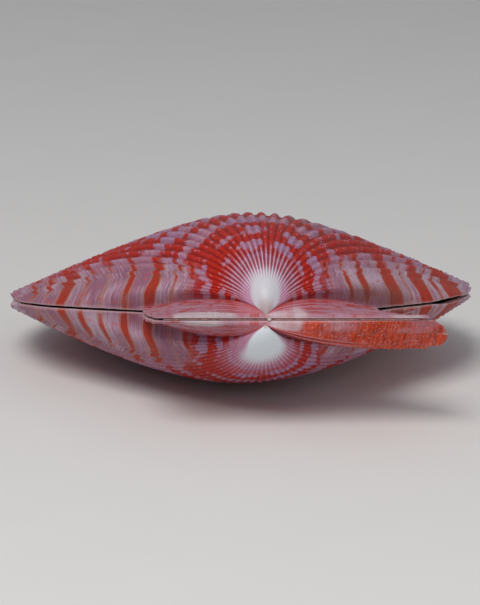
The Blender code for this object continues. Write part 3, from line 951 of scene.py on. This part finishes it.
def build_valve(shape, valve, growth):
    """One closed valve: the outside, rings that round the edge and make the flat rim, each a weighted
    mean of the loops of places beside it, and the inside. The whole leans as it gets deeper and is
    twisted by X times Y."""
    edge = outline(shape, valve, growth)
    stages = np.linspace(0.0, 1.0, GROWTH_ROWS + 1)[1:] ** GROWTH_ROW_POWER
    stage = stages[:, None]
    outside = outer_surface(shape, valve, edge, stage)
    fields = colour_fields(valve, edge, stage, outside)
    rows, columns = outside.shape[:2]
    weave = Weave()
    all_numbers = np.arange(rows * columns)
    grid = weave.add(outside.reshape(-1, 3), all_numbers, 0.0).reshape(rows, columns)
    beak_top = np.array([[0.0, 0.0, shape.valve_gap / 2 + EAR_EDGE_THICKNESS]])
    beak = weave.add(beak_top, np.array([columns // 2]), 0.0)
    outer_loop = np.concatenate([grid[-1], grid[:-1, -1][::-1], beak, grid[:-1, 0]])
    loop_sources = np.concatenate([grid[-1], grid[:-1, -1][::-1], [columns // 2], grid[:-1, 0]])

    gape = tip_gape(edge, valve)
    base = edge["points"] * toothed(edge, valve)[:, None]
    base[:, 2] += shape.seam / 2 + valve["side"] * edge_wave(edge) + gape
    inner_edge = inset(edge["plain"], RIM_WIDTH)
    inner_edge[:, 1] = np.maximum(inner_edge[:, 1] - HINGE_PLATE_WIDTH, 0.0)
    inner_edge[[0, -1], 1:] = 0.0
    rim = inner_surface(shape, valve, edge, inner_edge, np.array([[1.0]]))[0]
    rim[:, 2] += gape

    outer_places = np.vstack([outside.reshape(-1, 3), beak_top])[outer_loop]
    base_places = loop_around(base, stages)
    inner_places = loop_around(rim, stages)
    rounding = LIP_ROUNDING * edge_outwards(edge, stages)
    rings = (
        (0.72 * outer_places + 0.28 * base_places + rounding, 0.0),
        (0.30 * outer_places + 0.70 * base_places + rounding, 0.15),
        (base_places, 0.45),
        (0.5 * base_places + 0.5 * inner_places, 0.9),
        (inner_places, 1.0),
    )
    loops = [outer_loop] + [weave.add(places, loop_sources, inside) for places, inside in rings]
    ring_grid = np.stack([np.append(loop, loop[0]) for loop in loops])

    last = loops[-1]
    turn = columns + rows - 1
    inner_stages = np.linspace(0.0, 1.0, INNER_ROWS + 1)[1:-1, None]
    kept = np.arange(INNER_EVERY, columns - INNER_EVERY, INNER_EVERY)
    hollow = inner_surface(shape, valve, edge, inner_edge, inner_stages)[:, kept]
    sources = np.tile(grid[-1][kept], len(inner_stages))
    inner = weave.add(hollow.reshape(-1, 3), sources, 1.0).reshape(hollow.shape[:2])
    triangles = np.vstack(
        [
            stitch(grid[0][::-1], beak),
            stitch(last[:columns], inner[-1]),
            stitch(last[columns - 1 : turn + 1], inner[::-1, -1]),
            stitch(np.append(last[turn:], last[0]), inner[:, 0]),
            stitch(inner[0], last[turn : turn + 1]),
        ]
    )
    quads = np.vstack([grid_quads(grid), grid_quads(ring_grid), grid_quads(inner[::-1])])

    places = np.vstack(weave.places)
    places[:, 0] -= valve["depth_lean"] * places[:, 2]
    places[:, 2] = valve["side"] * places[:, 2] + TWIST_PER_METRE * places[:, 0] * places[:, 1]
    sources = np.concatenate(weave.sources)
    attributes = {
        key: np.stack([part.ravel()[sources] for part in parts], axis=1) for key, parts in fields.items()
    }
    attributes["places"][:, 0] = np.concatenate(weave.inside)
    mesh = build_mesh(valve["name"], laid_down(shape, places), quads, triangles, attributes)
    return bpy.data.objects.new(valve["name"], mesh)


def capped_tube(rings, tips, first):
    """The points, quads and triangles of a tube round a grid of rings, closed by a tip at each end. Its
    vertex numbers are counted on from the first."""
    numbers = first + np.arange(rings[:, :, 0].size).reshape(rings.shape[:2])
    wrapped = np.hstack([numbers, numbers[:, :1]])
    ends = first + numbers.size + np.arange(2)[:, None]
    triangles = np.vstack([stitch(wrapped[0][::-1], ends[0]), stitch(wrapped[-1], ends[1])])
    return np.vstack([rings.reshape(-1, 3), tips]), grid_quads(wrapped), triangles


def ligament_rings():
    """The dry strip as rings along the hinge: flattened ovals that get smaller towards both ends as a
    half ellipse does, with noise on their front and on their height."""
    along = np.linspace(0.0, 1.0, LIGAMENT_ROWS)
    x = LIGAMENT_POSTERIOR_END + (LIGAMENT_ANTERIOR_END - LIGAMENT_POSTERIOR_END) * along
    taper = np.sqrt(np.clip(4 * along * (1 - along), 0.0, 1.0))
    uneven = 0.93 + 0.07 * lattice_noise(x / STRIP_UNEVEN_PITCH, 0.3, LIGAMENT_SEED)
    half = LIGAMENT_THICKNESS / 2 * (0.8 + 0.2 * taper) * uneven
    front = STRIP_FRONT + STRIP_WAVE * lattice_noise(x / STRIP_WAVE_PITCH, 4.1, LIGAMENT_SEED + 1)
    depth = STRIP_DEPTHS[0] + (STRIP_DEPTHS[1] - STRIP_DEPTHS[0]) * taper
    around = 2.0 * math.pi * np.arange(LIGAMENT_COLUMNS) / LIGAMENT_COLUMNS
    y = front[:, None] + depth[:, None] * (0.5 + 0.5 * np.sin(around))
    z = half[:, None] * np.clip(1.5 * np.cos(around), -1.0, 1.0)
    return np.stack([np.broadcast_to(x[:, None], y.shape), y, z], axis=-1)


def bead_rings():
    """The bead as rings from its lower pole to its upper one: an ellipsoid by latitude and longitude."""
    latitude = np.linspace(-math.pi / 2, math.pi / 2, BEAD_ROWS)[1:-1, None]
    longitude = 2.0 * math.pi * np.arange(BEAD_COLUMNS) / BEAD_COLUMNS
    out = np.cos(latitude)
    parts = (out * np.cos(longitude), out * np.sin(longitude), np.sin(latitude) + 0 * longitude)
    return np.stack(parts, axis=-1) * BEAD_RADII + BEAD_PLACE


def build_ligament(shape):
    """The dry strip between the hinge edges, and the round bead that stands out of it at the beak."""
    ribbon = ligament_rings()
    poles = BEAD_PLACE + np.outer((-1, 1), BEAD_RADII * (0, 0, 1))
    strip = capped_tube(ribbon, ribbon[[0, -1]].mean(1), 0)
    bead = capped_tube(bead_rings(), poles, len(strip[0]))
    points, quads, triangles = (np.vstack(parts) for parts in zip(strip, bead))
    glassy = (np.arange(len(points)) >= len(strip[0])).astype(float)
    fields = {"strip": np.stack([points[:, 0], glassy, 0 * glassy], axis=1)}
    mesh = build_mesh("dry_ligament", laid_down(shape, points), quads, triangles, fields)
    return bpy.data.objects.new("dry_ligament", mesh)


# Materials


class Nodes:
    """Adds nodes to a new material, one for each call, and returns what comes out of them."""

    def __init__(self, name):
        self.material = bpy.data.materials.new(name)
        self.material.use_nodes = True
        self.tree = self.material.node_tree
        self.shader = self.tree.nodes["Principled BSDF"]

    def join(self, value, socket):
        """Links an output to a socket, or puts a plain value in it."""
        if isinstance(value, bpy.types.NodeSocket):
            self.tree.links.new(value, socket)
        else:
            socket.default_value = value

    def math(self, operation, *values):
        """The result of a Math node."""
        node = self.tree.nodes.new("ShaderNodeMath")
        node.operation = operation
        for value, socket in zip(values, node.inputs):
            self.join(value, socket)
        return node.outputs[0]

    def times(self, first, second):
        """The product of two numbers."""
        return self.math("MULTIPLY", first, second)

    def plus(self, first, second):
        """The sum of two numbers."""
        return self.math("ADD", first, second)

    def minus(self, first, second):
        """The first number less the second."""
        return self.math("SUBTRACT", first, second)

    def scaled(self, value, factor, start):
        """A value times a factor, added to a start."""
        return self.math("MULTIPLY_ADD", value, factor, start)

    def ramp(self, value, low, high):
        """0 at low and 1 at high with a smooth rise, from a Map Range node."""
        node = self.tree.nodes.new("ShaderNodeMapRange")
        node.interpolation_type = "SMOOTHSTEP"
        self.join(value, node.inputs["Value"])
        falling = not isinstance(low, bpy.types.NodeSocket) and low > high
        bounds = (high, low) if falling else (low, high)
        self.join(bounds[0], node.inputs["From Min"])
        self.join(bounds[1], node.inputs["From Max"])
        self.join(1.0 if falling else 0.0, node.inputs["To Min"])
        self.join(0.0 if falling else 1.0, node.inputs["To Max"])
        return node.outputs["Result"]

    def mix(self, share, first, second):
        """A blend of two colours."""
        node = self.tree.nodes.new("ShaderNodeMix")
        node.data_type = "RGBA"
        self.join(share, node.inputs["Factor"])
        for colour, socket in ((first, node.inputs[6]), (second, node.inputs[7])):
            self.join(colour if isinstance(colour, bpy.types.NodeSocket) else (*colour, 1.0), socket)
        return node.outputs[2]

    def multiply(self, first, second):
        """The product of two colours."""
        colour = self.mix(1.0, first, second)
        colour.node.blend_type = "MULTIPLY"
        return colour

    def attribute(self, name):
        """The three numbers of a vector attribute."""
        node = self.tree.nodes.new("ShaderNodeAttribute")
        node.attribute_name = name
        apart = self.tree.nodes.new("ShaderNodeSeparateXYZ")
        self.tree.links.new(node.outputs["Vector"], apart.inputs[0])
        return apart.outputs[0], apart.outputs[1], apart.outputs[2]

    def vector(self, x, y, z=0.0):
        """Three numbers as a vector."""
        node = self.tree.nodes.new("ShaderNodeCombineXYZ")
        for value, socket in zip((x, y, z), node.inputs):
            self.join(value, socket)
        return node.outputs[0]

    def noise(self, vector, scale, detail=2.0, roughness=0.5):
        """Noise from 0 to 1."""
        node = self.tree.nodes.new("ShaderNodeTexNoise")
        self.join(vector, node.inputs["Vector"])
        node.inputs["Scale"].default_value = scale
        node.inputs["Detail"].default_value = detail
        node.inputs["Roughness"].default_value = roughness
        return node.outputs["Fac"]

    def place(self):
        """Object coordinates."""
        return self.tree.nodes.new("ShaderNodeTexCoord").outputs["Object"]

    def finish(self, colour, roughness, height=None, gloss=None):
        """Joins colour, roughness and relief to the shader and sets its other sockets."""
        self.join(colour, self.shader.inputs["Base Color"])
        self.join(roughness, self.shader.inputs["Roughness"])
        if height is not None:
            node = self.tree.nodes.new("ShaderNodeBump")
            node.inputs["Strength"].default_value = 1.0
            node.inputs["Distance"].default_value = BUMP_HEIGHT
            self.join(height, node.inputs["Height"])
            self.join(node.outputs["Normal"], self.shader.inputs["Normal"])
        for name, value in (gloss or {}).items():
            self.shader.inputs[name].default_value = value
        return self.material


def shell_material(valve, colours):
    """Shell: concentric red-orange markings on lilac ribs, banded flanks, flecked and rayed ears, white
    patches at the hinge and a worn white beak with pale rays around it. All of it follows the growth
    of the valve: each edge in it is a smooth rise of a field, roughened by noise."""
    n = Nodes(valve["name"])
    rib, lamella, stage = n.attribute("growth_map")
    ribbed, ear, byssal = n.attribute("regions")
    field, band, umbo = n.attribute("marks")
    halo, hinge, stain = n.attribute("tints")
    inside, ear_share, notch = n.attribute("places")
    grain = n.noise(n.place(), GRAIN_SCALE, 3.0, 0.6)
    cloud = n.noise(n.place(), CLOUD_SCALE, 3.0, 0.55)
    blotch = n.noise(n.place(), BLOTCH_SCALE, 2.0, 0.5)
    wave = n.math("COSINE", n.times(rib, 2 * math.pi))
    crest = n.scaled(wave, 0.5, 0.5)
    fine_line = n.noise(n.vector(n.times(lamella, 190.0), n.times(rib, 0.3)), 1.0, 3.0, 0.6)
    streak = n.noise(n.vector(n.times(rib, 3.1), n.times(stage, 60.0)), 1.0, 3.0, 0.55)

    # The ribs: rough-edged markings with light dashes in them, on a ground that is darker in the grooves,
    # partly the shell's colour and partly painted shade between the ribs
    dash_place = n.vector(n.times(rib, 1.3), n.times(stage, 60.0), 4.0)
    dash = n.noise(dash_place, 1.0, 1.0, 0.4)
    rough_edge = n.scaled(streak, 1.5, n.scaled(cloud, 0.7, -1.1))
    marked = n.ramp(n.plus(field, rough_edge), -0.16, 0.16)
    light_dash = n.times(n.ramp(dash, 0.57, 0.68), n.ramp(crest, 0.35, 0.85))
    marked = n.math("MAXIMUM", n.minus(marked, n.times(light_dash, 0.75)), 0.0)
    # Mauve in the grooves: partly the ground's own colour, partly painted shade between the ribs
    ground_share = n.ramp(n.scaled(streak, 1.2, n.times(crest, 0.5)), 0.40, 1.15)
    pale_rib = n.mix(n.ramp(blotch, 0.42, 0.62), colours.lilac_white, colours.violet)
    ground = n.mix(ground_share, colours.mauve_and_groove_shade, pale_rib)
    # Deep red in the grooves against red orange on the crests: partly the markings' own colour, partly
    # painted shade between the ribs
    red_share = n.ramp(n.scaled(streak, 0.9, n.times(crest, 0.7)), 0.30, 1.0)
    red = n.mix(red_share, colours.deep_red_and_groove_shade, colours.red_orange)
    disc = n.mix(marked, ground, red)
    thread = n.math("ABSOLUTE", n.minus(n.math("PINGPONG", rib, 0.5), 0.17))
    disc = n.mix(n.times(n.ramp(thread, 0.07, 0.02), 0.03), disc, colours.lilac_white)

    # The flanks: orange bands with a pale edge, faint dashes, and the rust stain beside the ear
    wander = n.scaled(blotch, 0.050, n.scaled(cloud, 0.016, -0.033))
    band_at = n.plus(band, wander)
    banded = n.ramp(band_at, -0.006, 0.006)
    edged = n.ramp(band_at, -0.012, -0.002)
    pale = n.scaled(fine_line, 0.60, n.minus(blotch, 0.30))
    flank_ground = n.mix(n.ramp(pale, 0.34, 0.64), colours.flank_lilac, colours.flank_white)
    flank_ground = n.mix(n.ramp(lamella, 0.34, 0.12), flank_ground, colours.mauve_and_groove_shade)
    dash_place = n.vector(n.times(lamella, 48.0), n.times(rib, 1.5), 9.0)
    pink_dash = n.ramp(n.noise(dash_place, 1.0, 3.0, 0.55), 0.54, 0.66)
    flank_ground = n.mix(n.times(pink_dash, 0.6), flank_ground, colours.pink_red)
    flank = n.mix(n.times(edged, 0.55), flank_ground, colours.band_edge)
    orange = n.mix(n.ramp(streak, 0.3, 0.7), colours.flank_orange, colours.red_orange)
    flank = n.mix(n.times(banded, 0.93), flank, orange)
    stained = n.times(n.times(stain, n.ramp(blotch, 0.34, 0.60)), n.ramp(notch, -27.0, -9.0))
    flank = n.mix(stained, flank, colours.rust)
    near_beak = n.ramp(n.scaled(cloud, 0.14, lamella), 0.44, 0.31)
    side_share = n.ramp(n.scaled(streak, 2.5, n.math("ABSOLUTE", rib)), 13.6, 10.4)
    disc_share = n.math("MAXIMUM", side_share, near_beak)
    body = n.mix(disc_share, flank, disc)
    # Painted shade: maroon darkening of the flank and the disc's edge next to each ear, where the surface
    # dips in
    painted_ear_shade = n.times(n.ramp(notch, -15.0, -1.0), n.minus(1.0, ear))
    body = n.mix(n.times(painted_ear_shade, 0.45), body, colours.maroon_and_ear_shade)

    # The beak: a fan of pale rays, a pink halo and the worn white with its dull tip
    ray = n.ramp(n.scaled(streak, 0.3, n.minus(crest, 0.15)), 0.48, 0.92)
    between = n.mix(n.ramp(stage, 0.110, 0.075), colours.deep_red_and_groove_shade, colours.halo)
    between = n.mix(n.times(n.ramp(cloud, 0.48, 0.66), 0.6), between, colours.maroon_and_ear_shade)
    fan = n.mix(ray, between, colours.ray_white)
    fan_share = n.ramp(n.scaled(streak, 0.06, stage), 0.215, 0.135)
    body = n.mix(n.times(fan_share, valve["ray_share"]), body, fan)
    body = n.mix(n.times(halo, valve["halo_share"]), body, colours.halo)
    white = n.ramp(n.scaled(n.minus(crest, 0.5), valve["ray_contrast"], umbo), 0.10, 0.85)
    white = n.math("MINIMUM", white, n.ramp(umbo, 0.0, 0.25))
    worn = n.mix(n.ramp(stage, *valve["tip_stages"]), colours.beak_tip, valve["umbo_colour"])
    body = n.mix(white, body, worn)

    # The ears: flecks and rays, red beside the disc, the rough orange ear and the white hinge patches
    fleck_place = n.vector(n.times(ear_share, 11.0), n.times(lamella, 4.5), 2.0)
    fleck = n.noise(fleck_place, 1.8, 4.0, 0.65)
    ear_ground = n.mix(n.ramp(cloud, 0.3, 0.7), colours.ear_pink, colours.lilac_white)
    ear_colour = n.mix(n.ramp(fleck, 0.50, 0.62), ear_ground, colours.ear_red)
    ear_rays = n.math("COSINE", n.scaled(ear_share, 44.0, n.times(cloud, 3.0)))
    ear_rays = n.times(n.ramp(ear_rays, 0.1, 0.8), n.ramp(lamella, 0.60, 0.22))
    ear_colour = n.mix(n.times(ear_rays, 0.75), ear_colour, colours.ear_red)
    beside_disc = n.times(n.ramp(notch, 24.0, 5.0), n.ramp(lamella, 0.85, 0.40))
    beside_disc = n.times(beside_disc, n.ramp(fleck, 0.36, 0.56))
    ear_colour = n.mix(n.times(beside_disc, 0.7), ear_colour, colours.ear_red)
    speck = n.ramp(n.noise(n.place(), SPECK_SCALE, 2.0, 0.7), 0.57, 0.70)
    growth_line = n.noise(n.vector(n.times(lamella, 60.0), n.times(ear_share, 4.0)), 1.0, 3.0, 0.6)
    rough_red = n.mix(n.ramp(growth_line, 0.42, 0.62), colours.byssal_red, colours.deep_red_and_groove_shade)
    rough_red = n.mix(0.35, rough_red, colours.byssal_red)
    rough_red = n.mix(n.times(n.ramp(blotch, 0.52, 0.66), 0.6), rough_red, colours.ear_pink)
    rough_red = n.mix(n.times(speck, 0.75), rough_red, colours.hinge_white)
    ear_colour = n.mix(n.times(byssal, n.ramp(stage, 0.10, 0.30)), ear_colour, rough_red)
    white_edge = n.ramp(n.scaled(n.minus(cloud, 0.5), 1.6, hinge), 0.10, 0.85)
    ear_colour = n.mix(white_edge, ear_colour, colours.hinge_white)
    colour = n.mix(ear, body, ear_colour)

    # The fold of the rough ear, with strands along it
    fold = n.times(n.ramp(notch, 49.0, 42.0), n.ramp(lamella, 0.66, 0.42))
    fold = n.times(n.times(fold, byssal), valve["groove_share"])
    strand = n.math("SINE", n.scaled(notch, 0.72, n.times(cloud, 2.5)))
    fold_colour = n.mix(n.ramp(strand, -0.6, 0.1), colours.maroon_and_ear_shade, colours.byssal_red)
    fold_colour = n.mix(n.ramp(strand, 0.55, 0.95), fold_colour, colours.ear_pink)
    fold_colour = n.mix(n.ramp(notch, 36.0, 30.0), fold_colour, colours.maroon_and_ear_shade)
    colour = n.mix(fold, colour, fold_colour)

    # Growth lines over everything but the white, the plain inside and the fine relief
    shade = n.mix(n.ramp(fine_line, 0.30, 0.70), LINE_SHADE, PLAIN_SHADE)
    shade = n.mix(white, shade, PLAIN_SHADE)
    colour = n.mix(inside, n.multiply(colour, shade), colours.inside)
    turns = 2 * math.pi * DISC_LENGTH / LAMELLA_PITCH
    lamellae = n.math("SINE", n.scaled(lamella, turns, n.times(cloud, 9.0)))
    threads = n.math("COSINE", n.times(rib, 2 * math.pi * FINE_THREADS_PER_RIB))
    height = n.scaled(lamellae, 0.35, n.times(threads, n.times(ribbed, 0.3)))
    height = n.times(height, n.ramp(stage, 0.14, 0.34))
    height = n.scaled(grain, 0.8, height)
    roughness = n.scaled(grain, 0.25, n.scaled(umbo, -0.18, 0.30))
    gloss = {"Coat Weight": 0.05, "Coat Roughness": 0.2, "Specular IOR Level": 0.16}
    return n.finish(colour, roughness, height, gloss)


def ligament_material(colours):
    """Dry horn, streaked along the hinge, with a clear pale bead."""
    n = Nodes("dry_ligament")
    x, bead = n.attribute("strip")[:2]
    streak = n.noise(n.vector(n.times(x, 1500.0), bead), 1.0, 3.0, 0.6)
    colour = n.mix(n.ramp(streak, 0.4, 0.7), colours.ligament, LIGAMENT_PALE)
    colour = n.mix(bead, colour, colours.bead)
    roughness = n.scaled(bead, -0.42, 0.50)
    return n.finish(colour, roughness, streak)


def floor_material(colours):
    """A matt pale floor with a trace of grain."""
    n = Nodes("floor")
    grain = n.noise(n.place(), 90.0, 3.0, 0.5)
    darker = tuple(0.97 * part for part in colours.floor)
    return n.finish(n.mix(grain, darker, tuple(colours.floor)), 0.75)


# Putting pieces in the scene


def show(piece, material, node):
    """Puts a piece in the scene with its material, in place of the solid of that name."""
    bpy.context.scene.collection.objects.link(piece)
    piece.data.materials.append(material)
    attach(piece, "root")
    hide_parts(node)


def add_light(name, power, place, size, colour):
    """A square area light aimed at the shell."""
    lamp = bpy.data.lights.new(name, "AREA")
    lamp.size = size
    lamp.energy = power
    lamp.color = colour
    light = bpy.data.objects.new(name, lamp)
    light.location = place
    light.rotation_euler = (Vector(LIT_PLACE) - Vector(place)).to_track_quat("-Z", "Y").to_euler()
    bpy.context.scene.collection.objects.link(light)


def add_camera(shape, studio):
    """The camera at the photograph's viewing angle: it looks at the hinge from above the floor."""
    azimuth, elevation = studio.camera_azimuth, studio.camera_elevation
    level = math.cos(elevation)
    towards = Vector((-math.sin(azimuth) * level, -math.cos(azimuth) * level, math.sin(elevation)))
    data = bpy.data.cameras.new("camera")
    data.lens = studio.focal_length
    data.clip_start = CAMERA_NEAR
    camera = bpy.data.objects.new("camera", data)
    turn = (-towards).to_track_quat("-Z", "Y") @ Quaternion((0, 0, 1), studio.camera_roll)
    right, up = turn @ Vector((1, 0, 0)), turn @ Vector((0, 1, 0))
    aim = Vector(beak_place(shape)) - studio.beak_right * right + studio.beak_below * up
    camera.location = aim + studio.camera_distance * towards
    camera.rotation_euler = turn.to_euler()
    bpy.context.scene.collection.objects.link(camera)
    bpy.context.scene.camera = camera


class SCALLOP_OT_valves(Operator):
    """Build the upper and the lower valve"""

    bl_idname = "scallop.valves"
    bl_label = "Build valves"

    def execute(self, context):
        shape, colours = context.scene.scallop_shape, context.scene.scallop_colours
        for valve, growth in ((UPPER_VALVE, shape.upper_growth), (LOWER_VALVE, shape.lower_growth)):
            piece = build_valve(shape, valve, growth)
            show(piece, shell_material(valve, colours), valve["node"])
        return {"FINISHED"}


class SCALLOP_OT_ligament(Operator):
    """Build the dry ligament along the hinge"""

    bl_idname = "scallop.ligament"
    bl_label = "Build ligament"

    def execute(self, context):
        piece = build_ligament(context.scene.scallop_shape)
        material = ligament_material(context.scene.scallop_colours)
        show(piece, material, "hinge_ligament")
        return {"FINISHED"}


class SCALLOP_OT_stage(Operator):
    """Set up the floor, the light and the camera"""

    bl_idname = "scallop.stage"
    bl_label = "Set up stage"

    def execute(self, context):
        scene = context.scene
        shape, colours, studio = scene.scallop_shape, scene.scallop_colours, scene.scallop_studio
        mesh = bpy.data.meshes.new("floor")
        corners = [(x * FLOOR_HALF, y * FLOOR_HALF, 0) for x, y in ((-1, -1), (1, -1), (1, 1), (-1, 1))]
        mesh.from_pydata(corners, [], [(0, 1, 2, 3)])
        mesh.materials.append(floor_material(colours))
        floor = bpy.data.objects.new("floor", mesh)
        scene.collection.objects.link(floor)
        add_light("key", studio.key_power, **KEY_LIGHT)
        add_light("fill", studio.fill_power, **FILL_LIGHT)
        world = bpy.data.worlds.new("soft_light")
        world.use_nodes = True
        background = world.node_tree.nodes["Background"]
        background.inputs["Color"].default_value = SKY_COLOUR
        background.inputs["Strength"].default_value = studio.sky_strength
        scene.world = world
        scene.view_settings.view_transform = "Standard"
        add_camera(shape, studio)
        return {"FINISHED"}


class SCALLOP_PT_sidebar(Panel):
    """The scallop's settings and its building steps"""

    bl_idname = "SCALLOP_PT_sidebar"
    bl_label = "Scallop"
    bl_space_type = "VIEW_3D"
    bl_region_type = "UI"
    bl_category = "Scallop"

    def draw(self, context):
        layout, scene = self.layout, context.scene
        for group in (scene.scallop_shape, scene.scallop_colours, scene.scallop_studio):
            box = layout.box()
            for name in group.__annotations__:
                box.prop(group, name)
        for operator in (SCALLOP_OT_valves, SCALLOP_OT_ligament, SCALLOP_OT_stage):
            layout.operator(operator.bl_idname)


CLASSES = (
    ScallopShape,
    ScallopColours,
    ScallopStudio,
    SCALLOP_OT_valves,
    SCALLOP_OT_ligament,
    SCALLOP_OT_stage,
    SCALLOP_PT_sidebar,
)


def register():
    """Registers the classes and puts the settings on the scene."""
    for item in CLASSES:
        bpy.utils.register_class(item)
    bpy.types.Scene.scallop_shape = PointerProperty(type=ScallopShape)
    bpy.types.Scene.scallop_colours = PointerProperty(type=ScallopColours)
    bpy.types.Scene.scallop_studio = PointerProperty(type=ScallopStudio)


def unregister():
    """Takes the settings and the classes away again."""
    for name in ("scallop_studio", "scallop_colours", "scallop_shape"):
        delattr(bpy.types.Scene, name)
    for item in reversed(CLASSES):
        bpy.utils.unregister_class(item)


def main():
    """Builds the pieces and the stage."""
    register()
    bpy.ops.scallop.valves()
    bpy.ops.scallop.ligament()
    bpy.ops.scallop.stage()


if __name__ == "__main__":
    main()
